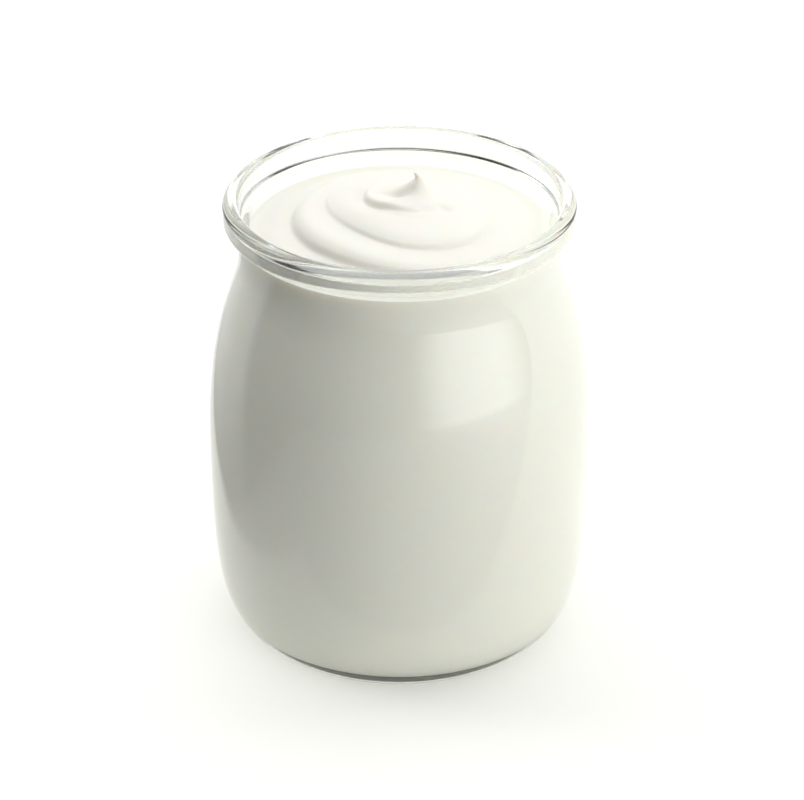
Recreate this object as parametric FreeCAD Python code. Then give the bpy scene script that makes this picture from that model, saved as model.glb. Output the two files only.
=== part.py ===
"""Glass jar of set yogurt with a spoon-turned swirl on top.

Two solids: the round clear jar and the yogurt that fills it.  Units are
millimetres and +Z is up.  The origin is on the jar's axis, at the height of
the surface that it stands on.
"""
import FreeCAD, Part
import math
import os

# ---------------------------------------------------------------- jar outside
jar_height = 79.6           # standing surface to the top of the lip
body_radius = 33.0          # widest part of the bulging body
body_height = 33.0          # height of the widest part
neck_radius = 27.0          # narrowest outside radius, under the lip
neck_height = 70.4          # height of the narrowest part
lip_radius = 29.4           # widest outside radius of the rolled lip
lip_depth = 4.4             # height of the rolled lip
lip_round = 1.3             # rounding of the lip's outer corners
foot_radius = 25.7          # outer edge of the flat ring that it stands on
recess_radius = 20.0        # hollow under the base
recess_depth = 0.8

# The pull of each curve's end: how far it runs on before it turns away.
heel_pull = 7.25            # outwards from the standing ring
flank_pull = 19.0           # down from the widest part
shoulder_pull = 26.0        # up from the widest part
neck_pull = 8.0             # down from the neck
collar_pull = 3.6           # up from the neck to the underside of the lip
under_share = 0.7           # inwards under the lip, as a share of its overhang

# ----------------------------------------------------------------- jar inside
wall = 2.7                  # glass thickness at the body
throat_radius = 24.9        # narrowest inside radius, at the neck
mouth_radius = 26.8         # inside radius at the top of the lip
mouth_round = 0.8           # rounding of the lip's inner corner
throat_pull = 6.0           # up from the throat
mouth_pull = 3.0            # down from the lip's inner corner
floor_height = 2.6          # inside floor above the standing surface
floor_radius = 23.0         # inside floor before the heel's curve begins
floor_pull = 6.5            # outwards from the flat of the floor

# ------------------------------------------------------------ yogurt and swirl
fill_depth = 6.1            # yogurt's edge below the top of the lip
contact_radius = 25.1       # inside radius of the glass at the yogurt's edge
swirl_x = 1.2               # centre of the spiral, beside the jar's axis
swirl_y = -0.8
crown_level = 0.75          # top of the innermost coil, above the lip
crown_radius = 7.0          # how wide the top of the mound is
mound_slope = 0.36          # mean fall of the mound outwards
edge_start = 0.8            # share of contact_radius where the fall to the glass begins
fade_power = 1.4            # how a crease's step fades out over its reach
peak_x = 3.25                # axis of the drawn-up peak
peak_y = -0.3
peak_rise = 4.5             # height of the flared foot, if it ran on to a point
peak_spread = 1.8           # how fast the foot flares out
peak_blunt = 0.7            # rounding of the foot's top, under the thin tip
hook_radius = 0.55          # thickness of the thin tip
hook_rise = 0.55             # how far the tip stands above the flared foot
hook_lean = 0.6             # how far the tip bends over towards -X
hook_tilt = 62.0            # degrees that the very tip leans over
hook_sunk = 1.2             # how deep the stem starts inside the foot
hook_flare = 1.35           # stem's thickness where it starts, in hook_radius
hook_bend = 2.5             # higher values keep the bend nearer the very tip
hook_sections = 6           # circles that carry the stem

# The creases that the spoon leaves: reach of the step, softness of its upper and
# lower edge, then (turn in degrees from +X, radius, drop) along the crease round
# the spiral's centre.
CREASES = (
    (3.2, 0.4, 0.25, ((110, 8.6, 0.0), (140, 8.0, 0.4), (165, 7.2, 0.9), (186, 6.6, 1.3),
                      (201, 6.1, 1.4), (217, 5.5, 1.4), (234, 5.0, 1.1), (263, 5.0, 0.6),
                      (290, 5.6, 0.3), (315, 6.2, 0.0))),
    (6.2, 2.0, 0.35, ((148, 14.2, 0.0), (164, 13.6, 0.4), (180, 12.7, 0.8), (202, 11.7, 1.1),
                      (230, 11.5, 1.3), (251, 12.2, 1.3), (273, 13.2, 1.3), (300, 14.0, 1.6),
                      (325, 13.9, 1.9), (345, 13.1, 1.6), (362, 12.0, 1.0), (390, 10.6, 0.0))),
    (6.2, 1.5, 0.4, ((80, 20.5, 0.0), (120, 19.8, 0.5), (150, 19.2, 1.3), (178, 18.7, 2.1),
                     (205, 18.1, 2.4), (236, 17.8, 2.1), (257, 18.2, 1.5), (290, 19.6, 1.0),
                     (330, 21.3, 0.8), (370, 21.8, 0.5), (405, 21.0, 0.0))),
)

# Small hollows beside the peak: x, y, turn of the long side in degrees, half
# length, half width and depth.
HOLLOWS = (
    (-0.2, -1.5, -20.0, 2.2, 1.0, 1.0),
    (4.6, -5.6, 8.0, 2.4, 0.7, 0.3),
    (7.2, -4.4, 20.0, 1.3, 0.9, 0.5),
)

# -------------------------------------------------------------- surface detail
grid_step = 0.9             # spacing of the grid that carries the swirl
grid_margin = 1.5           # how far the grid reaches past the glass
lid_gap = 20.0              # empty height over the swirl that is cut away


def smooth(low, high, value):
    """0 below low, 1 above high, and an even S-curve between them."""
    t = min(max((value - low) / (high - low), 0.0), 1.0)
    return t * t * (3.0 - 2.0 * t)


def slope(knots, i, column):
    """Mean slope of a column of the knots beside knot i."""
    before, after = knots[max(i - 1, 0)], knots[min(i + 1, len(knots) - 1)]
    return (after[column] - before[column]) / (after[0] - before[0])


def follow(knots, column, turn):
    """A smooth value along the knots, held at both ends."""
    turn = min(max(turn, knots[0][0]), knots[-1][0])
    i = max(k for k in range(len(knots) - 1) if k == 0 or knots[k][0] < turn)
    width = knots[i + 1][0] - knots[i][0]
    t = (turn - knots[i][0]) / width
    low, high = knots[i][column], knots[i + 1][column]
    return (low + (high - low) * t * t * (3.0 - 2.0 * t)
            + slope(knots, i, column) * width * t * (1.0 - t) ** 2
            - slope(knots, i + 1, column) * width * t * t * (1.0 - t))


def crease_level(radius, angle):
    """Height that all the creases add."""
    level = 0.0
    for reach, shoulder, valley, knots in CREASES:
        middle = 0.5 * (knots[0][0] + knots[-1][0])
        turn = (math.degrees(angle) - middle + 180.0) % 360.0 - 180.0 + middle
        past = radius - follow(knots, 1, turn)
        if abs(past) < reach:
            blend = smooth(-0.5, 0.5, past)
            softness = shoulder * (1.0 - blend) + valley * blend
            fade = (1.0 - abs(past) / reach) ** fade_power
            level -= 0.5 * follow(knots, 2, turn) * math.tanh(past / softness) * fade
    return level


def hollow_level(x, y):
    """Height that the small hollows beside the peak take away."""
    level = 0.0
    for middle_x, middle_y, turn, half_length, half_width, depth in HOLLOWS:
        across_x, across_y = x - middle_x, y - middle_y
        cosine, sine = math.cos(math.radians(turn)), math.sin(math.radians(turn))
        along = (across_x * cosine + across_y * sine) / half_length
        across = (across_y * cosine - across_x * sine) / half_width
        level -= depth * math.exp(-along ** 2 - across ** 2)
    return level


def peak_flare(x, y):
    """The concave foot of the peak, like a drop drawn upwards."""
    distance = math.hypot(x - peak_x, y - peak_y, peak_blunt)
    return peak_rise * math.exp(-distance / peak_spread)


def swirl_height(x, y):
    """Height of the yogurt's surface above the top of the lip."""
    radius = math.hypot(x - swirl_x, y - swirl_y)
    angle = math.atan2(y - swirl_y, x - swirl_x)
    mound = crown_level - mound_slope * (math.hypot(radius, crown_radius) - crown_radius)
    level = mound + crease_level(radius, angle) + hollow_level(x, y) + peak_flare(x, y)
    edge = smooth(edge_start * contact_radius, contact_radius, math.hypot(x, y))
    return level * (1.0 - edge) - fill_depth * edge


def point(radius, height):
    return FreeCAD.Vector(radius, 0.0, height)


def line(start, end):
    return Part.LineSegment(point(*start), point(*end)).toShape()


def arc(start, middle, end):
    return Part.Arc(point(*start), point(*middle), point(*end)).toShape()


def sweep_curve(start, start_pull, end_pull, end):
    """A smooth curve that leaves start and reaches end in the pulled directions."""
    bezier = Part.BezierCurve()
    poles = [start, (start[0] + start_pull[0], start[1] + start_pull[1]),
             (end[0] + end_pull[0], end[1] + end_pull[1]), end]
    bezier.setPoles([point(*pole) for pole in poles])
    return bezier.toShape()


def corner(centre, radius, from_degrees, to_degrees):
    """A round corner as an arc about its centre."""
    places = []
    for degrees in (from_degrees, (from_degrees + to_degrees) / 2.0, to_degrees):
        turn = math.radians(degrees)
        places.append((centre[0] + radius * math.cos(turn),
                       centre[1] + radius * math.sin(turn)))
    return arc(*places), places[0], places[-1]


def revolve(edges):
    """Turn a closed outline once round the jar's axis."""
    outline = Part.Face(Part.Wire(edges))
    return outline.revolve(FreeCAD.Vector(), FreeCAD.Vector(0, 0, 1), 360.0)


def outer_edges():
    """The jar's outside from its standing ring up to the neck."""
    widest = (body_radius, body_height)
    return [sweep_curve((foot_radius, 0.0), (heel_pull, 0.0), (0.0, -flank_pull), widest),
            sweep_curve(widest, (0.0, shoulder_pull), (0.0, -neck_pull),
                        (neck_radius, neck_height))]


def lip_edges():
    """The rolled lip from the neck up round its side to its flat top."""
    centre_radius = lip_radius - lip_round
    low = (centre_radius, jar_height - lip_depth + lip_round)
    high = (centre_radius, jar_height - lip_round)
    lower, under, side_low = corner(low, lip_round, -90.0, 0.0)
    upper, side_high, top = corner(high, lip_round, 0.0, 90.0)
    inwards = neck_radius - centre_radius
    return [sweep_curve((neck_radius, neck_height), (0.0, collar_pull),
                        (under_share * inwards, 0.0), under),
            lower, line(side_low, side_high), upper,
            line(top, (mouth_radius + mouth_round, jar_height))]


def inner_edges():
    """The jar's inside from the rounded edge of the lip down to its floor."""
    centre = (mouth_radius + mouth_round, jar_height - mouth_round)
    rounding, top, side = corner(centre, mouth_round, 90.0, 180.0)
    throat = (throat_radius, neck_height)
    widest = (body_radius - wall, body_height)
    floor = (floor_radius, floor_height)
    return [rounding,
            sweep_curve(side, (0.0, -mouth_pull), (0.0, throat_pull), throat),
            sweep_curve(throat, (0.0, -neck_pull), (0.0, shoulder_pull), widest),
            sweep_curve(widest, (0.0, floor_height - flank_pull), (floor_pull, 0.0), floor),
            line(floor, (0.0, floor_height))]


def glass_jar():
    """Clear pressed-glass jar: one wall of revolution with a hollow inside."""
    ring_inside = recess_radius + recess_depth
    base = [line((0.0, recess_depth), (recess_radius, recess_depth)),
            line((recess_radius, recess_depth), (ring_inside, 0.0)),
            line((ring_inside, 0.0), (foot_radius, 0.0))]
    axis = [line((0.0, floor_height), (0.0, recess_depth))]
    return revolve(base + outer_edges() + lip_edges() + inner_edges() + axis)


def jar_hollow():
    """Everything inside the glass, with a lid well above the swirl."""
    mouth = (mouth_radius + mouth_round, jar_height)
    lid = jar_height + lid_gap
    lid_edges = [line((0.0, floor_height), (0.0, lid)),
                 line((0.0, lid), (mouth[0], lid)),
                 line((mouth[0], lid), mouth)]
    return revolve(lid_edges + inner_edges())


def swirl_surface():
    """The spoon-turned top as one smooth face, wider than the jar's mouth."""
    reach = mouth_radius + grid_margin
    count = 2 * round(reach / grid_step) + 1
    places = [-reach + 2.0 * reach * i / (count - 1) for i in range(count)]
    grid = [[FreeCAD.Vector(x, y, jar_height + swirl_height(x, y)) for y in places]
            for x in places]
    surface = Part.BSplineSurface()
    surface.interpolate(grid)
    return surface.toShape()


def hooked_tip():
    """The thin tip of the peak: a tapering stem that bends over towards -X."""
    foot = jar_height + swirl_height(peak_x, peak_y) - hook_sunk
    sections = []
    for i in range(hook_sections):
        t = i / (hook_sections - 1)
        height = foot + (hook_rise + hook_sunk) * math.sin(0.5 * math.pi * t)
        centre = FreeCAD.Vector(peak_x - hook_lean * t ** hook_bend, peak_y, height)
        tilt = math.radians(hook_tilt * t ** 2)
        axis = FreeCAD.Vector(-math.sin(tilt), 0, math.cos(tilt))
        thickness = hook_radius * (hook_flare - t)
        sections.append(Part.Wire(Part.makeCircle(thickness, centre, axis)))
    return Part.makeLoft(sections, True, False)


def yogurt():
    """Yogurt up to its swirl, filling the glass with no gap."""
    below = swirl_surface().extrude(FreeCAD.Vector(0, 0, -jar_height - lid_gap))
    body = jar_hollow().common(below)
    return body.fuse(hooked_tip()).removeSplitter()


def main():
    os.makedirs("parts", exist_ok=True)
    for name, make in (("glass_jar", glass_jar), ("yogurt", yogurt)):
        shape = make()
        solid = shape.Solids[0]
        print(name, "solids", len(shape.Solids), "valid", shape.isValid(),
              "volume", round(shape.Volume / 1000.0, 2), "cm3", shape.BoundBox)
        solid.exportStep("parts/" + name + ".step")


main()
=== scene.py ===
"""A clear glass jar filled with thick yogurt that is spooned into a swirl.

The jar is a lathed shell made with Geometry Nodes. The yogurt is one closed
mesh that fills the glass and rises into a spiral with a hooked peak.
"""
import math

import bmesh
import bpy
import numpy as np
from bpy.props import FloatProperty, IntProperty, PointerProperty, StringProperty
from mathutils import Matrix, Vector


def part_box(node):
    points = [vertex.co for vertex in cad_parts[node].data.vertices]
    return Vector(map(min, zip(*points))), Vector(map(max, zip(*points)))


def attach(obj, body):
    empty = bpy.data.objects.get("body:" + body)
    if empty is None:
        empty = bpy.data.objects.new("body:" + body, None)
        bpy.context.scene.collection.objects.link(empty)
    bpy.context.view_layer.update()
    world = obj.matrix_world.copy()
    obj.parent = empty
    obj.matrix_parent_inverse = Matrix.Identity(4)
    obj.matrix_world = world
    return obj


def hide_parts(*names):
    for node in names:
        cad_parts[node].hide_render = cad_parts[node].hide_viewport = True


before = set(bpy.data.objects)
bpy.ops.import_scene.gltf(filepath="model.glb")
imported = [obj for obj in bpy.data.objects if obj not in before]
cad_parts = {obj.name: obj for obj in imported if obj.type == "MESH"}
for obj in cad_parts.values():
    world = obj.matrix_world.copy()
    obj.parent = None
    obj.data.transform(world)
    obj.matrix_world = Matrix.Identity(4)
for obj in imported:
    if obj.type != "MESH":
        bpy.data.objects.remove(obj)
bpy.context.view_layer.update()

bl_info = {
    "name": "Glass Jar of Yogurt",
    "version": (1, 0, 0),
    "blender": (4, 5, 0),
    "location": "3D View > Sidebar > Yogurt Jar",
    "description": "Builds a lathed glass jar, its swirled yogurt and a pale studio",
    "category": "Add Mesh",
}

JAR_HIGH = Vector(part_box("glass_jar")[1])
MM = 0.001
QUARTER_TURN_PULL = 0.5523      # Bezier pull that turns a quarter circle, per radius
WELD_DISTANCE = 2e-6            # closes the seams of the lathe
MOUTH_STEPS = 80                # steps of the yogurt's side along the mouth
NECK_STEPS = 28
FLANK_STEPS = 24
HOOK_STEPS = 64                 # steps along the bend of the peak's tip
SOFTNESS_REACH = 0.5            # millimetres over which a crease's two edges meet
SWEEP_SIDES = 96
SENSOR_WIDTH = 36.0             # millimetres
NEAR_CLIP = 0.01


def length(name, description, millimetres):
    """A length that shows in the sidebar, given in millimetres."""
    return FloatProperty(name=name, description=description, default=millimetres * MM,
                         unit="LENGTH", subtype="DISTANCE", precision=5)


def share(name, description, value):
    """A plain number between nothing and all."""
    return FloatProperty(name=name, description=description, default=value,
                         min=0.0, max=1.0, subtype="FACTOR")


def number(name, description, value):
    """A plain number."""
    return FloatProperty(name=name, description=description, default=value)


def degrees(name, description, value):
    """An angle, given in degrees."""
    return FloatProperty(name=name, description=description,
                         default=math.radians(value), unit="ROTATION", subtype="ANGLE")


def count(name, description, value):
    """A whole number of at least one."""
    return IntProperty(name=name, description=description, default=value, min=1)


def hex_colour(name, description, value):
    """An sRGB colour, written as six hex digits."""
    return StringProperty(name=name, description=description, default=value)


class JarSizes(bpy.types.PropertyGroup):
    """Outline of the glass, measured from the jar's axis and its standing surface."""

    jar_height: length("Jar height", "Standing surface to the top of the lip",
                       JAR_HIGH.z / MM)
    body_radius: length("Body radius", "Widest part of the bulging body", JAR_HIGH.x / MM)
    body_height: length("Body height", "Height of the widest part", 33.0)
    neck_radius: length("Neck radius", "Narrowest outside radius, under the lip", 27.0)
    neck_height: length("Neck height", "Height of the narrowest part", 70.4)
    lip_radius: length("Lip radius", "Widest outside radius of the rolled lip", 29.4)
    lip_depth: length("Lip depth", "Height of the rolled lip", 4.4)
    lip_round: length("Lip round", "Rounding of the lip's outer corners", 1.3)
    foot_radius: length("Foot radius", "Outer edge of the standing ring", 25.7)
    recess_radius: length("Recess radius", "Hollow under the base", 20.0)
    recess_depth: length("Recess depth", "Depth of the hollow under the base", 0.8)
    wall: length("Wall", "Thickness of the glass at the body", 2.7)
    throat_radius: length("Throat radius", "Narrowest inside radius, at the neck", 24.9)
    mouth_radius: length("Mouth radius", "Inside radius at the top of the lip", 26.8)
    mouth_round: length("Mouth round", "Rounding of the lip's inner corner", 0.8)
    floor_height: length("Floor height", "Inside floor above the standing surface", 2.6)
    floor_radius: length("Floor radius", "Flat of the inside floor", 23.0)
    heel_pull: length("Heel pull", "Outwards from the standing ring", 7.25)
    flank_pull: length("Flank pull", "Down from the widest part", 19.0)
    shoulder_pull: length("Shoulder pull", "Up from the widest part", 26.0)
    neck_pull: length("Neck pull", "Down from the neck", 8.0)
    collar_pull: length("Collar pull", "Up from the neck to the lip", 3.6)
    throat_pull: length("Throat pull", "Up from the throat", 6.0)
    mouth_pull: length("Mouth pull", "Down from the lip's inner corner", 3.0)
    floor_pull: length("Floor pull", "Outwards from the flat of the floor", 6.5)
    under_share: share("Under share", "Pull of the lip's underside, of its overhang", 0.7)
    segments: count("Segments", "Facets round the jar", 192)
    glass_tint: hex_colour("Glass tint", "Body colour of the clear glass", "F8FAF7")
    glass_ior: number("Glass IOR", "How strongly the glass bends light", 1.5)


class YogurtSizes(bpy.types.PropertyGroup):
    """Spoon-turned swirl, with levels counted from the top of the lip."""

    fill_depth: length("Fill depth", "Yogurt's edge below the top of the lip", 6.1)
    bite: length("Bite", "How far the yogurt reaches into the glass wall", 0.2)
    swirl_x: length("Swirl X", "Centre of the spiral beside the jar's axis", 1.2)
    swirl_y: length("Swirl Y", "Centre of the spiral beside the jar's axis", -0.8)
    crown_level: length("Crown level", "Top of the innermost coil", 0.75)
    crown_radius: length("Crown radius", "How wide the top of the mound is", 7.0)
    mound_slope: number("Mound slope", "Mean fall of the mound outwards", 0.36)
    edge_start: share("Edge start", "Where the fall to the glass begins", 0.8)
    fade_power: number("Fade power", "How a crease's step fades out over its reach", 1.4)
    peak_x: length("Peak X", "Axis of the drawn-up peak", 3.25)
    peak_y: length("Peak Y", "Axis of the drawn-up peak", -0.3)
    peak_rise: length("Peak rise", "Height of the flared foot of the peak", 4.5)
    peak_spread: length("Peak spread", "How fast the foot flares out", 1.8)
    peak_blunt: length("Peak blunt", "Rounding under the thin tip", 0.5)
    stem_rise: length("Stem rise", "Height of the thin tip over the foot", 0.6)
    stem_radius: length("Stem radius", "Reach of the thin tip from its axis", 0.63)
    hook_start: length("Hook start", "Level above which the tip bends over", 2.5)
    hook_turn: degrees("Hook turn", "How far the tip bends over", 75.0)
    hook_bend: number("Hook bend", "Higher values keep the bend near the tip", 1.6)
    ring_crowding: number("Ring crowding", "Higher values crowd rings at the peak", 1.5)
    rings: count("Rings", "Rings of faces from the peak to the glass", 200)
    spokes: count("Spokes", "Faces round each ring", 320)
    yogurt_colour: hex_colour("Yogurt colour", "Creamy white of the yogurt", "F5F3ED")


class StageSizes(bpy.types.PropertyGroup):
    """Camera and soft studio light."""

    camera_distance: length("Camera distance", "From the jar's middle", 450.0)
    camera_height: degrees("Camera height", "Angle above the horizon", 29.82)
    focal_length: number("Focal length", "Lens in millimetres on a 36 mm sensor", 116.3)
    shift_x: number("Shift X", "Sideways framing, as a share of the width", 0.003)
    shift_y: number("Shift Y", "Upwards framing, as a share of the width", 0.0047)
    backdrop_level: number("Backdrop level", "White backdrop behind the jar", 1.0)
    side_level: number("Side level", "Wide soft light from the right", 0.15)
    lamp_level: number("Lamp level", "Soft lamp at the front right", 3.0)
    top_level: number("Top level", "Softbox overhead", 1.06)
    spot_level: number("Spot level", "Small softbox at the back left", 2.8)
    room_level: number("Room level", "Dark room at the front left", 0.0)
    sweep_radius: length("Sweep radius", "Reach of the pale floor", 6000.0)
    light_colour: hex_colour("Light colour", "Tint of the studio light", "FFFFFC")
    card_left: length("Card left", "Edge of the white card to the left", 61.7)
    card_front: length("Card front", "Edge of the white card in front", 48.0)
    card_softness: length("Card softness", "Blur of the card's edges", 4.0)
    table_x: length("Table X", "Middle of the dull table", 60.0)
    table_y: length("Table Y", "Middle of the dull table", -110.0)
    table_reach: length("Table reach", "Edge of the dull table round the card", 220.0)
    table_fade: length("Table fade", "Softness of the table's end", 110.0)
    # The table darkens leftwards into near black. This is a painted shadow of the jar on the
    # floor: the glass mirrors it, and it sends less bounce light to the jar's left side.
    painted_shadow_start: length("Dark start", "Where the table starts to darken leftwards", 38.0)
    painted_shadow_end: length("Dark end", "Where the table is fully dark", 60.0)
    table_colour: hex_colour("Table colour", "Dull table round the card", "BEBEBE")
    painted_shadow_colour: hex_colour("Dark colour", "Dark ground to the left", "2A2A2A")
    floor_lift: number("Floor lift", "Overexposure of the white card", 0.18)
    floor_colour: hex_colour("Floor colour", "Pale sweep under the jar", "F4F4F2")


def linear(hex_digits):
    """A linear RGBA colour from six sRGB hex digits."""
    channels = [int(hex_digits[i:i + 2], 16) / 255.0 for i in (0, 2, 4)]
    return (*[c / 12.92 if c <= 0.04045 else ((c + 0.055) / 1.055) ** 2.4
              for c in channels], 1.0)


def add_node(tree, kind, settings=None, inputs=None):
    """Adds a node, sets its settings and links or sets its inputs."""
    node = tree.nodes.new(kind)
    for name, value in (settings or {}).items():
        setattr(node, name, value)
    for name, value in (inputs or {}).items():
        if isinstance(value, bpy.types.NodeSocket):
            tree.links.new(value, node.inputs[name])
        else:
            node.inputs[name].default_value = value
    return node


def new_material(name):
    """An empty node material."""
    material = bpy.data.materials.new(name)
    material.use_nodes = True
    material.node_tree.nodes.clear()
    return material


# ------------------------------------------------------------------ materials


def clear_glass(jar):
    """Soda-lime glass, pressed in a mould and fire polished.

    It is smooth and nearly colourless, with a faint green in thick edges.
    Lamps and soft bounced light pass straight through it to the yogurt.
    """
    material = new_material("clear soda-lime glass")
    tree = material.node_tree
    glass = add_node(tree, "ShaderNodeBsdfPrincipled", None, {
        "Base Color": linear(jar.glass_tint),
        "Roughness": 0.0,
        "IOR": jar.glass_ior,
        "Transmission Weight": 1.0})
    open_way = add_node(tree, "ShaderNodeBsdfTransparent", None, {
        "Color": linear(jar.glass_tint)})
    path = add_node(tree, "ShaderNodeLightPath")
    soft = add_node(tree, "ShaderNodeMath", {"operation": "MAXIMUM"}, {
        0: path.outputs["Is Shadow Ray"],
        1: path.outputs["Is Diffuse Ray"]})
    mix = add_node(tree, "ShaderNodeMixShader", None, {
        0: soft.outputs[0], 1: glass.outputs[0], 2: open_way.outputs[0]})
    add_node(tree, "ShaderNodeOutputMaterial", None, {"Surface": mix.outputs[0]})
    return material


def set_yogurt(yogurt):
    """Thick set yogurt, cultured and stirred with a spoon.

    Milk fat scatters light just under its surface, so shadows stay soft and
    warm, and whey gives it a faint wet sheen.
    """
    material = new_material("thick set yogurt")
    tree = material.node_tree
    place = add_node(tree, "ShaderNodeTexCoord")
    fine = add_node(tree, "ShaderNodeTexNoise", {"noise_dimensions": "3D"}, {
        "Vector": place.outputs["Object"],
        "Scale": 1.0 / (0.6 * MM), "Detail": 2.0, "Roughness": 0.5})
    bump = add_node(tree, "ShaderNodeBump", None, {
        "Strength": 0.06, "Distance": 0.05 * MM, "Height": fine.outputs[0]})
    body = add_node(tree, "ShaderNodeBsdfPrincipled", None, {
        "Base Color": linear(yogurt.yogurt_colour),
        "Roughness": 0.36,
        "IOR": 1.35,
        "Subsurface Weight": 0.6,
        "Subsurface Radius": (1.0, 0.75, 0.5),
        "Subsurface Scale": 1.8 * MM,
        "Normal": bump.outputs[0]})
    add_node(tree, "ShaderNodeOutputMaterial", None, {"Surface": body.outputs[0]})
    return material


# Directions across the floor that the stage's edges face.
CARD_LEFT_FACING = (0.987, 0.163, 0.0)
CARD_FRONT_FACING = (0.0, 1.0, 0.0)
# Direction in which the table's painted shadow of the jar deepens.
PAINTED_SHADOW_FACING = (-0.7, 0.7, 0.0)


def soft_side(tree, place, facing, low, high):
    """How far the floor lies on one side of an edge: 0 before it and 1 past it."""
    across = add_node(tree, "ShaderNodeVectorMath", {"operation": "DOT_PRODUCT"}, {
        0: place, 1: facing})
    return add_node(tree, "ShaderNodeMapRange", {"interpolation_type": "SMOOTHSTEP"}, {
        "Value": across.outputs["Value"], "From Min": low, "From Max": high}).outputs[0]


def studio_floor(stage):
    """White card under the jar, matt and overexposed, so that only close shadows show.

    It looks endless from any view. The jar mirrors the true card, which ends a
    little to the left and in front, and the dull table round it, which darkens
    leftwards into a painted shadow of the jar.
    """
    material = new_material("matt white card")
    tree = material.node_tree
    place = add_node(tree, "ShaderNodeTexCoord").outputs["Object"]
    blur = stage.card_softness
    card = add_node(tree, "ShaderNodeMath", {"operation": "MULTIPLY"}, {
        0: soft_side(tree, place, CARD_LEFT_FACING,
                     -stage.card_left - blur, -stage.card_left + blur),
        1: soft_side(tree, place, CARD_FRONT_FACING,
                     -stage.card_front - blur, -stage.card_front + blur)})
    away = add_node(tree, "ShaderNodeVectorMath", {"operation": "DISTANCE"}, {
        0: place, 1: (stage.table_x, stage.table_y, 0.0)})
    past_table = add_node(tree, "ShaderNodeMapRange", {"interpolation_type": "SMOOTHSTEP"}, {
        "Value": away.outputs["Value"],
        "From Min": stage.table_reach - stage.table_fade,
        "From Max": stage.table_reach + stage.table_fade})
    paper = add_node(tree, "ShaderNodeBsdfDiffuse", None, {
        "Color": linear(stage.floor_colour)})
    path = add_node(tree, "ShaderNodeLightPath")
    unlit = add_node(tree, "ShaderNodeMath", {"operation": "SUBTRACT"}, {
        0: 1.0, 1: path.outputs["Is Diffuse Ray"]})
    strength = add_node(tree, "ShaderNodeMath", {"operation": "MULTIPLY"}, {
        0: unlit.outputs[0], 1: stage.floor_lift})
    lift = add_node(tree, "ShaderNodeEmission", None, {"Strength": strength.outputs[0]})
    bright = add_node(tree, "ShaderNodeAddShader", None, {
        0: paper.outputs[0], 1: lift.outputs[0]})
    # Painted shadow: the table's grey turns near black towards the left, in place of the jar's
    # shadow on the floor.
    shade = add_node(tree, "ShaderNodeMix", {"data_type": "RGBA"}, {
        0: soft_side(tree, place, PAINTED_SHADOW_FACING, stage.painted_shadow_start, stage.painted_shadow_end),
        6: linear(stage.table_colour), 7: linear(stage.painted_shadow_colour)})
    table = add_node(tree, "ShaderNodeBsdfDiffuse", None, {"Color": shade.outputs[2]})
    open_way = add_node(tree, "ShaderNodeBsdfTransparent")
    around = add_node(tree, "ShaderNodeMixShader", None, {
        0: past_table.outputs[0], 1: table.outputs[0], 2: open_way.outputs[0]})
    seen = add_node(tree, "ShaderNodeMath", {"operation": "MAXIMUM"}, {
        0: card.outputs[0], 1: path.outputs["Is Camera Ray"]})
    mix = add_node(tree, "ShaderNodeMixShader", None, {
        0: seen.outputs[0], 1: around.outputs[0], 2: bright.outputs[0]})
    add_node(tree, "ShaderNodeOutputMaterial", None, {"Surface": mix.outputs[0]})
    return material


# ------------------------------------------------------------------ glass jar

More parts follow.
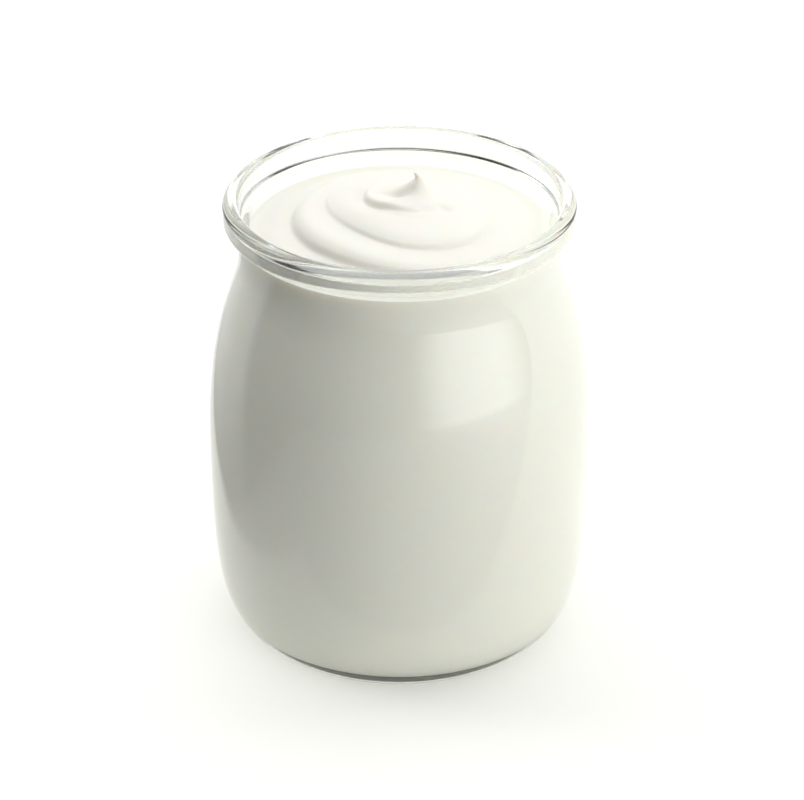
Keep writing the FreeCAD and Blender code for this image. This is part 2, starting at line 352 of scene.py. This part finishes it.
# The outline of the glass as Bezier pieces, from the middle of its underside
# round the outside and over the lip to the middle of its floor. Each row gives
# start, start pull, end pull, end and steps. A coordinate is a sum of inputs.
ZERO = ()
STRAIGHT = (ZERO, ZERO)
OUTLINE = [
    ((ZERO, ("Recess Depth",)), STRAIGHT, STRAIGHT,
     (("Recess Radius",), ("Recess Depth",)), 1),
    ((("Recess Radius",), ("Recess Depth",)), STRAIGHT, STRAIGHT,
     (("Recess Radius", "Recess Depth"), ZERO), 1),
    ((("Recess Radius", "Recess Depth"), ZERO), STRAIGHT, STRAIGHT,
     (("Foot Radius",), ZERO), 1),
    ((("Foot Radius",), ZERO), (("Heel Pull",), ZERO), (ZERO, ("-Flank Pull",)),
     (("Body Radius",), ("Body Height",)), 52),
    ((("Body Radius",), ("Body Height",)), (ZERO, ("Shoulder Pull",)),
     (ZERO, ("-Neck Pull",)), (("Neck Radius",), ("Neck Height",)), 48),
    ((("Neck Radius",), ("Neck Height",)), (ZERO, ("Collar Pull",)),
     (("-Under Pull",), ZERO),
     (("Lip Radius", "-Lip Round"), ("Jar Height", "-Lip Depth")), 14),
    ((("Lip Radius", "-Lip Round"), ("Jar Height", "-Lip Depth")),
     (("Lip Pull",), ZERO), (ZERO, ("-Lip Pull",)),
     (("Lip Radius",), ("Jar Height", "-Lip Depth", "Lip Round")), 12),
    ((("Lip Radius",), ("Jar Height", "-Lip Depth", "Lip Round")), STRAIGHT, STRAIGHT,
     (("Lip Radius",), ("Jar Height", "-Lip Round")), 2),
    ((("Lip Radius",), ("Jar Height", "-Lip Round")), (ZERO, ("Lip Pull",)),
     (("Lip Pull",), ZERO), (("Lip Radius", "-Lip Round"), ("Jar Height",)), 12),
    ((("Lip Radius", "-Lip Round"), ("Jar Height",)), STRAIGHT, STRAIGHT,
     (("Mouth Radius", "Mouth Round"), ("Jar Height",)), 2),
    ((("Mouth Radius", "Mouth Round"), ("Jar Height",)), (("-Mouth Corner",), ZERO),
     (ZERO, ("Mouth Corner",)), (("Mouth Radius",), ("Jar Height", "-Mouth Round")), 10),
    ((("Mouth Radius",), ("Jar Height", "-Mouth Round")), (ZERO, ("-Mouth Pull",)),
     (ZERO, ("Throat Pull",)), (("Throat Radius",), ("Neck Height",)), 28),
    ((("Throat Radius",), ("Neck Height",)), (ZERO, ("-Neck Pull",)),
     (ZERO, ("Shoulder Pull",)), (("Body Radius", "-Wall"), ("Body Height",)), 40),
    ((("Body Radius", "-Wall"), ("Body Height",)),
     (ZERO, ("Floor Height", "-Flank Pull")), (("Floor Pull",), ZERO),
     (("Floor Radius",), ("Floor Height",)), 40),
    ((("Floor Radius",), ("Floor Height",)), STRAIGHT, STRAIGHT,
     (ZERO, ("Floor Height",)), 1),
]


def jar_inputs(jar):
    """The lathe's named sizes and their values."""
    names = ("jar_height", "body_radius", "body_height", "neck_radius", "neck_height",
             "lip_radius", "lip_depth", "lip_round", "foot_radius", "recess_radius",
             "recess_depth", "wall", "throat_radius", "mouth_radius", "mouth_round",
             "floor_height", "floor_radius", "heel_pull", "flank_pull",
             "shoulder_pull", "neck_pull", "collar_pull", "throat_pull", "mouth_pull",
             "floor_pull")
    values = {name.replace("_", " ").title(): getattr(jar, name) for name in names}
    values["Lip Pull"] = QUARTER_TURN_PULL * jar.lip_round
    values["Mouth Corner"] = QUARTER_TURN_PULL * jar.mouth_round
    values["Under Pull"] = jar.under_share * (
        jar.lip_radius - jar.lip_round - jar.neck_radius)
    return values


def total(tree, sizes, terms):
    """A socket, or zero, that adds the named sizes; a minus sign takes one away."""
    result = 0.0
    for term in terms:
        operation = "SUBTRACT" if term.startswith("-") else "ADD"
        result = add_node(tree, "ShaderNodeMath", {"operation": operation}, {
            0: result, 1: sizes.outputs[term.lstrip("-")]}).outputs[0]
    return result


def place_of(tree, sizes, across, up):
    """A point of the outline, from its distance to the axis and its height."""
    return add_node(tree, "ShaderNodeCombineXYZ", None, {
        0: total(tree, sizes, across), 1: total(tree, sizes, up)}).outputs[0]


def lathe_tree(values, material):
    """Geometry Nodes that draw the jar's outline and turn it round its axis."""
    tree = bpy.data.node_groups.new("Turned Glass Jar", "GeometryNodeTree")
    for name in values:
        socket = tree.interface.new_socket(name, in_out="INPUT",
                                           socket_type="NodeSocketFloat")
        socket.subtype = "DISTANCE"
    tree.interface.new_socket("Segments", in_out="INPUT", socket_type="NodeSocketInt")
    tree.interface.new_socket("Glass", in_out="INPUT", socket_type="NodeSocketMaterial")
    tree.interface.new_socket("Jar", in_out="OUTPUT", socket_type="NodeSocketGeometry")
    sizes = add_node(tree, "NodeGroupInput")
    outline = add_node(tree, "GeometryNodeJoinGeometry")
    for start, start_pull, end_pull, end, steps in reversed(OUTLINE):
        piece = add_node(tree, "GeometryNodeCurvePrimitiveBezierSegment",
                         {"mode": "OFFSET"}, {
                             "Resolution": steps,
                             "Start": place_of(tree, sizes, *start),
                             "Start Handle": place_of(tree, sizes, *start_pull),
                             "End Handle": place_of(tree, sizes, *end_pull),
                             "End": place_of(tree, sizes, *end)})
        tree.links.new(piece.outputs[0], outline.inputs[0])
    path = add_node(tree, "GeometryNodeCurvePrimitiveCircle", {"mode": "RADIUS"}, {
        "Resolution": sizes.outputs["Segments"], "Radius": 1.0})
    beside = add_node(tree, "GeometryNodeTransform", None, {
        "Geometry": outline.outputs[0], "Translation": (-1.0, 0.0, 0.0),
        "Rotation": (math.pi, 0.0, 0.0)})
    turned = add_node(tree, "GeometryNodeCurveToMesh", None, {
        "Curve": path.outputs[0], "Profile Curve": beside.outputs[0]})
    welded = add_node(tree, "GeometryNodeMergeByDistance", None, {
        "Geometry": turned.outputs[0], "Distance": WELD_DISTANCE})
    outward = add_node(tree, "GeometryNodeFlipFaces", None, {"Mesh": welded.outputs[0]})
    smooth = add_node(tree, "GeometryNodeSetShadeSmooth", None, {
        "Geometry": outward.outputs[0]})
    real = add_node(tree, "GeometryNodeRealizeInstances", None, {
        "Geometry": smooth.outputs[0]})
    finished = add_node(tree, "GeometryNodeSetMaterial", None, {
        "Geometry": real.outputs[0], "Material": sizes.outputs["Glass"]})
    add_node(tree, "NodeGroupOutput", None, {0: finished.outputs[0]})
    values["Glass"] = material
    return tree


def grow(name, tree, values):
    """Runs a tree on a new object and leaves its result as a plain mesh."""
    piece = bpy.data.objects.new(name, bpy.data.meshes.new(name))
    bpy.context.scene.collection.objects.link(piece)
    modifier = piece.modifiers.new(tree.name, "NODES")
    modifier.node_group = tree
    for item in tree.interface.items_tree:
        if item.item_type == "SOCKET" and item.in_out == "INPUT":
            modifier[item.identifier] = values[item.name]
    bpy.context.view_layer.update()
    shown = piece.evaluated_get(bpy.context.evaluated_depsgraph_get())
    mesh = bpy.data.meshes.new_from_object(shown)
    piece.modifiers.clear()
    piece.data = mesh
    mesh.name = name
    return piece


# -------------------------------------------------------------------- yogurt


def smooth_step(low, high, value):
    """0 below low, 1 above high, and an even S-curve between them."""
    t = np.clip((value - low) / (high - low), 0.0, 1.0)
    return t * t * (3.0 - 2.0 * t)


# The creases that the spoon leaves, in millimetres: reach of the step, softness
# of its upper and lower edge, then (turn in degrees from +X, radius, drop) along
# the crease round the spiral's centre.
CREASES = (
    (3.2, 0.4, 0.25, ((110, 8.6, 0.0), (140, 8.0, 0.4), (165, 7.2, 0.9), (186, 6.6, 1.3),
                      (201, 6.1, 1.4), (217, 5.5, 1.4), (234, 5.0, 1.1), (263, 5.0, 0.6),
                      (290, 5.6, 0.3), (315, 6.2, 0.0))),
    (6.2, 2.0, 0.35, ((148, 14.2, 0.0), (164, 13.6, 0.4), (180, 12.7, 0.8), (202, 11.7, 1.1),
                      (230, 11.5, 1.3), (251, 12.2, 1.3), (273, 13.2, 1.3), (300, 14.0, 1.6),
                      (325, 13.9, 1.9), (345, 13.1, 1.6), (362, 12.0, 1.0), (390, 10.6, 0.0))),
    (6.2, 1.5, 0.4, ((80, 20.5, 0.0), (120, 19.8, 0.5), (150, 19.2, 1.3), (178, 18.7, 2.1),
                     (205, 18.1, 2.4), (236, 17.8, 2.1), (257, 18.2, 1.5), (290, 19.6, 1.0),
                     (330, 21.3, 0.8), (370, 21.8, 0.5), (405, 21.0, 0.0))),
)

# Small hollows beside the peak, in millimetres: x, y, turn of the long side in
# degrees, half length, half width and depth.
HOLLOWS = (
    (-0.2, -1.5, -20.0, 2.2, 1.0, 1.0),
    (4.6, -5.6, 8.0, 2.4, 0.7, 0.3),
    (7.2, -4.4, 20.0, 1.3, 0.9, 0.5),
)


def follow(knots, column, turn):
    """A smooth value along the knots, held at both ends."""
    places, values = np.array(knots, float)[:, 0], np.array(knots, float)[:, column]
    slopes = np.gradient(values, places)
    turn = np.clip(turn, places[0], places[-1])
    first = np.clip(np.searchsorted(places, turn) - 1, 0, len(places) - 2)
    width = places[first + 1] - places[first]
    t = (turn - places[first]) / width
    low, high = values[first], values[first + 1]
    return (low + (high - low) * t * t * (3.0 - 2.0 * t)
            + slopes[first] * width * t * (1.0 - t) ** 2
            - slopes[first + 1] * width * t * t * (1.0 - t))


def crease_level(radius, angle, fade_power):
    """Height that all the creases add, in millimetres."""
    level = 0.0
    for reach, shoulder, valley, knots in CREASES:
        middle = 0.5 * (knots[0][0] + knots[-1][0])
        turn = (np.degrees(angle) - middle + 180.0) % 360.0 - 180.0 + middle
        past = radius - follow(knots, 1, turn)
        blend = smooth_step(-SOFTNESS_REACH, SOFTNESS_REACH, past)
        softness = shoulder * (1.0 - blend) + valley * blend
        fade = np.clip(1.0 - np.abs(past) / reach, 0.0, 1.0) ** fade_power
        level = level - 0.5 * follow(knots, 2, turn) * np.tanh(past / softness) * fade
    return level


def hollow_level(x, y):
    """Height that the hollows take away, in millimetres."""
    level = 0.0
    for middle_x, middle_y, turn, half_length, half_width, depth in HOLLOWS:
        aside, ahead = x - middle_x, y - middle_y
        cosine, sine = math.cos(math.radians(turn)), math.sin(math.radians(turn))
        along = (aside * cosine + ahead * sine) / half_length
        across = (ahead * cosine - aside * sine) / half_width
        level = level - depth * np.exp(-along ** 2 - across ** 2)
    return level


def swirl_level(yogurt, x, y, edge_radius):
    """Height of the yogurt's surface above the top of the lip."""
    radius = np.hypot(x - yogurt.swirl_x, y - yogurt.swirl_y)
    angle = np.arctan2(y - yogurt.swirl_y, x - yogurt.swirl_x)
    mound = yogurt.crown_level - yogurt.mound_slope * (
        np.hypot(radius, yogurt.crown_radius) - yogurt.crown_radius)
    from_peak = np.hypot(x - yogurt.peak_x, y - yogurt.peak_y)
    flare = yogurt.peak_rise * np.exp(-np.hypot(from_peak, yogurt.peak_blunt)
                                      / yogurt.peak_spread)
    stem = yogurt.stem_rise * (1.0 - smooth_step(0.0, yogurt.stem_radius, from_peak))
    relief = (crease_level(radius / MM, angle, yogurt.fade_power)
              + hollow_level(x / MM, y / MM))
    level = mound + relief * MM + flare + stem
    edge = smooth_step(yogurt.edge_start * edge_radius, edge_radius, np.hypot(x, y))
    return level * (1.0 - edge) - yogurt.fill_depth * edge


def bezier(start, start_pull, end_pull, end, steps):
    """Points along one Bezier piece, without its first one."""
    t = np.linspace(0.0, 1.0, steps + 1)[1:, None]
    poles = [np.array(start), np.array(start) + start_pull,
             np.array(end) + end_pull, np.array(end)]
    return (poles[0] * (1 - t) ** 3 + 3 * poles[1] * t * (1 - t) ** 2
            + 3 * poles[2] * t ** 2 * (1 - t) + poles[3] * t ** 3)


def inside_outline(jar):
    """The glass's inside from the rounded lip down to the edge of its floor."""
    top = (jar.mouth_radius, jar.jar_height - jar.mouth_round)
    throat = (jar.throat_radius, jar.neck_height)
    widest = (jar.body_radius - jar.wall, jar.body_height)
    floor = (jar.floor_radius, jar.floor_height)
    return np.vstack([
        bezier(top, (0, -jar.mouth_pull), (0, jar.throat_pull), throat, MOUTH_STEPS),
        bezier(throat, (0, -jar.neck_pull), (0, jar.shoulder_pull), widest, NECK_STEPS),
        bezier(widest, (0, jar.floor_height - jar.flank_pull), (jar.floor_pull, 0),
               floor, FLANK_STEPS)])


def set_out(outline, distance):
    """The outline moved outwards, square to itself."""
    way = np.gradient(outline, axis=0)
    normal = np.column_stack([-way[:, 1], way[:, 0]])
    return outline + distance * normal / np.linalg.norm(normal, axis=1)[:, None]


def bend_tip(yogurt, x, y, z, top_level):
    """Bends what stands above the hook's start over towards -X."""
    start = yogurt.hook_start
    reach = top_level - start
    steps = np.linspace(0.0, 1.0, HOOK_STEPS)
    turn = yogurt.hook_turn * steps ** yogurt.hook_bend
    spacing = reach / (len(steps) - 1)
    middle_x = -np.concatenate([[0.0], np.cumsum(np.sin(turn[1:]))]) * spacing
    middle_z = np.concatenate([[0.0], np.cumsum(np.cos(turn[1:]))]) * spacing
    along = np.clip((z - start) / reach, 0.0, 1.0)
    angle = np.interp(along, steps, turn)
    aside = x - yogurt.peak_x
    bent_x = yogurt.peak_x + np.interp(along, steps, middle_x) + aside * np.cos(angle)
    bent_z = start + np.interp(along, steps, middle_z) + aside * np.sin(angle)
    above = z > start
    return np.where(above, bent_x, x), y, np.where(above, bent_z, z)


def yogurt_mesh(jar, yogurt):
    """Vertices and faces of the closed yogurt body, outward facing."""
    side = set_out(inside_outline(jar), yogurt.bite)
    surface = jar.jar_height - yogurt.fill_depth
    side = side[side[:, 1] < surface]
    edge_radius = float(np.interp(-surface, -side[:, 1], side[:, 0]))
    angle = np.linspace(0.0, 2.0 * math.pi, yogurt.spokes, endpoint=False)
    ring_x, ring_y = edge_radius * np.cos(angle), edge_radius * np.sin(angle)
    reach = (np.arange(1, yogurt.rings + 1) / yogurt.rings) ** yogurt.ring_crowding
    x = yogurt.peak_x + np.outer(reach, ring_x - yogurt.peak_x)
    y = yogurt.peak_y + np.outer(reach, ring_y - yogurt.peak_y)
    z = swirl_level(yogurt, x, y, edge_radius)
    top = float(swirl_level(yogurt, np.array(yogurt.peak_x), np.array(yogurt.peak_y),
                            edge_radius))
    x, y, z = bend_tip(yogurt, x, y, z, top)
    tip = bend_tip(yogurt, np.array(yogurt.peak_x), np.array(yogurt.peak_y),
                   np.array(top), top)
    rows = [np.column_stack([x[i], y[i], z[i] + jar.jar_height])
            for i in range(yogurt.rings)]
    for radius, height in side:
        rows.append(np.column_stack([radius * np.cos(angle), radius * np.sin(angle),
                                     np.full(yogurt.spokes, height)]))
    tip_point = [[float(tip[0]), float(tip[1]), float(tip[2]) + jar.jar_height]]
    base_point = [[0.0, 0.0, float(side[-1, 1])]]
    return np.vstack([tip_point, *rows, base_point]), len(rows)


def polar_faces(rows, spokes):
    """Faces of a closed skin of rings between a first and a last point."""
    faces = []
    last = 1 + rows * spokes
    for i in range(spokes):
        j = (i + 1) % spokes
        faces.append((0, 1 + i, 1 + j))
        faces.append((last, last - spokes + j, last - spokes + i))
    for row in range(rows - 1):
        upper, lower = 1 + row * spokes, 1 + (row + 1) * spokes
        for i in range(spokes):
            j = (i + 1) % spokes
            faces.append((upper + i, lower + i, lower + j, upper + j))
    return faces


def mesh_object(name, points, faces, material):
    """A smooth-shaded object from points and faces."""
    mesh = bpy.data.meshes.new(name)
    mesh.from_pydata([tuple(p) for p in points], [], faces)
    mesh.materials.append(material)
    mesh.shade_smooth()
    piece = bpy.data.objects.new(name, mesh)
    bpy.context.scene.collection.objects.link(piece)
    return piece


# ----------------------------------------------------------------- operators


class MESH_OT_yogurt_glass_jar(bpy.types.Operator):
    """Turn the glass jar on the lathe"""

    bl_idname = "mesh.yogurt_glass_jar"
    bl_label = "Glass Jar"

    def execute(self, context):
        jar = context.scene.jar_sizes
        values = jar_inputs(jar)
        tree = lathe_tree(values, clear_glass(jar))
        values["Segments"] = jar.segments
        piece = grow("turned_glass_jar", tree, values)
        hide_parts("glass_jar")
        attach(piece, "root")
        return {"FINISHED"}


class MESH_OT_swirled_yogurt(bpy.types.Operator):
    """Fill the jar with yogurt and turn its top into a swirl"""

    bl_idname = "mesh.swirled_yogurt"
    bl_label = "Swirled Yogurt"

    def execute(self, context):
        jar, yogurt = context.scene.jar_sizes, context.scene.yogurt_sizes
        points, rows = yogurt_mesh(jar, yogurt)
        faces = polar_faces(rows, yogurt.spokes)
        piece = mesh_object("swirled_yogurt", points, faces, set_yogurt(yogurt))
        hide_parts("yogurt")
        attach(piece, "root")
        return {"FINISHED"}


# The room's lights: level, direction, outer and inner angle in degrees, and
# whether the light runs from the floor up to the ceiling.
LIGHTS = (
    ("backdrop_level", (0.0, 1.0, 0.0), 80.0, 70.0, True),
    ("side_level", (0.5, -0.87, 0.0), 80.0, 10.0, True),
    ("lamp_level", (0.73, -0.68, 0.05), 42.0, 4.0, False),
    ("top_level", (0.0, 0.1, 1.0), 48.0, 30.0, False),
    ("spot_level", (-0.73, 0.28, 0.63), 17.0, 5.0, False),
)


def glow(tree, direction, towards, outer, inner, strength):
    """Light from one side of the room that grows softly between two angles."""
    facing = add_node(tree, "ShaderNodeVectorMath", {"operation": "DOT_PRODUCT"}, {
        0: direction, 1: Vector(towards).normalized()})
    return add_node(tree, "ShaderNodeMapRange", {"interpolation_type": "SMOOTHSTEP"}, {
        "Value": facing.outputs["Value"],
        "From Min": math.cos(math.radians(outer)),
        "From Max": math.cos(math.radians(inner)),
        "To Max": strength}).outputs[0]


def studio_room(stage):
    """A dark room with a white backdrop, a soft lamp at the front right, a large
    softbox overhead and a small one at the back left. The camera sees only white.
    """
    world = bpy.data.worlds.new("studio room")
    world.use_nodes = True
    tree = world.node_tree
    tree.nodes.clear()
    way = add_node(tree, "ShaderNodeTexCoord").outputs["Generated"]
    level = add_node(tree, "ShaderNodeVectorMath", {"operation": "MULTIPLY"}, {
        0: way, 1: (1.0, 1.0, 0.0)})
    flat = add_node(tree, "ShaderNodeVectorMath", {"operation": "NORMALIZE"}, {
        0: level.outputs[0]}).outputs[0]
    light = stage.room_level
    for strength, towards, outer, inner, upright in LIGHTS:
        light = add_node(tree, "ShaderNodeMath", {"operation": "ADD"}, {
            0: light, 1: glow(tree, flat if upright else way, towards, outer, inner,
                              getattr(stage, strength))}).outputs[0]
    room = add_node(tree, "ShaderNodeBackground", None, {
        "Color": linear(stage.light_colour), "Strength": light})
    white = add_node(tree, "ShaderNodeBackground", None, {"Color": (1.0, 1.0, 1.0, 1.0)})
    path = add_node(tree, "ShaderNodeLightPath")
    mix = add_node(tree, "ShaderNodeMixShader", None, {
        0: path.outputs["Is Camera Ray"], 1: room.outputs[0], 2: white.outputs[0]})
    add_node(tree, "ShaderNodeOutputWorld", None, {"Surface": mix.outputs[0]})
    bpy.context.scene.world = world


class SCENE_OT_pale_studio(bpy.types.Operator):
    """Lay the pale sweep, hang the soft lights and set up the camera"""

    bl_idname = "scene.pale_studio"
    bl_label = "Pale Studio"

    def execute(self, context):
        stage = context.scene.stage_sizes
        jar = context.scene.jar_sizes
        sweep = bpy.data.meshes.new("paper_sweep")
        form = bmesh.new()
        bmesh.ops.create_circle(form, cap_ends=True, segments=SWEEP_SIDES,
                                radius=stage.sweep_radius)
        form.to_mesh(sweep)
        form.free()
        sweep.materials.append(studio_floor(stage))
        floor = bpy.data.objects.new("paper_sweep", sweep)
        context.scene.collection.objects.link(floor)
        studio_room(stage)
        context.scene.view_settings.view_transform = "Standard"
        middle = Vector((0.0, 0.0, 0.5 * jar.jar_height))
        back = Vector((0.0, -math.cos(stage.camera_height), math.sin(stage.camera_height)))
        camera = bpy.data.cameras.new("camera")
        camera.sensor_width = SENSOR_WIDTH
        camera.lens = stage.focal_length
        camera.shift_x = stage.shift_x
        camera.shift_y = stage.shift_y
        camera.clip_start = NEAR_CLIP
        camera.dof.use_dof = False
        eye = bpy.data.objects.new("camera", camera)
        eye.location = middle + back * stage.camera_distance
        eye.rotation_euler = (-back).to_track_quat("-Z", "Y").to_euler()
        context.scene.collection.objects.link(eye)
        context.scene.camera = eye
        return {"FINISHED"}


class VIEW3D_PT_yogurt_jar(bpy.types.Panel):
    """Sizes and builders of the yogurt jar"""

    bl_idname = "VIEW3D_PT_yogurt_jar"
    bl_label = "Yogurt Jar"
    bl_space_type = "VIEW_3D"
    bl_region_type = "UI"
    bl_category = "Yogurt Jar"

    def draw(self, context):
        for operator, group in STEPS:
            box = self.layout.box()
            box.operator(operator)
            sizes = getattr(context.scene, group)
            for name in sizes.__annotations__:
                box.prop(sizes, name)


STEPS = (("mesh.yogurt_glass_jar", "jar_sizes"),
         ("mesh.swirled_yogurt", "yogurt_sizes"),
         ("scene.pale_studio", "stage_sizes"))
GROUPS = {"jar_sizes": JarSizes, "yogurt_sizes": YogurtSizes, "stage_sizes": StageSizes}
CLASSES = (JarSizes, YogurtSizes, StageSizes, MESH_OT_yogurt_glass_jar,
           MESH_OT_swirled_yogurt, SCENE_OT_pale_studio, VIEW3D_PT_yogurt_jar)


def register():
    for cls in CLASSES:
        bpy.utils.register_class(cls)
    for name, group in GROUPS.items():
        setattr(bpy.types.Scene, name, PointerProperty(type=group))


def unregister():
    for name in GROUPS:
        delattr(bpy.types.Scene, name)
    for cls in reversed(CLASSES):
        bpy.utils.unregister_class(cls)


def main():
    register()
    bpy.ops.mesh.yogurt_glass_jar()
    bpy.ops.mesh.swirled_yogurt()
    bpy.ops.scene.pale_studio()


if __name__ == "__main__":
    main()
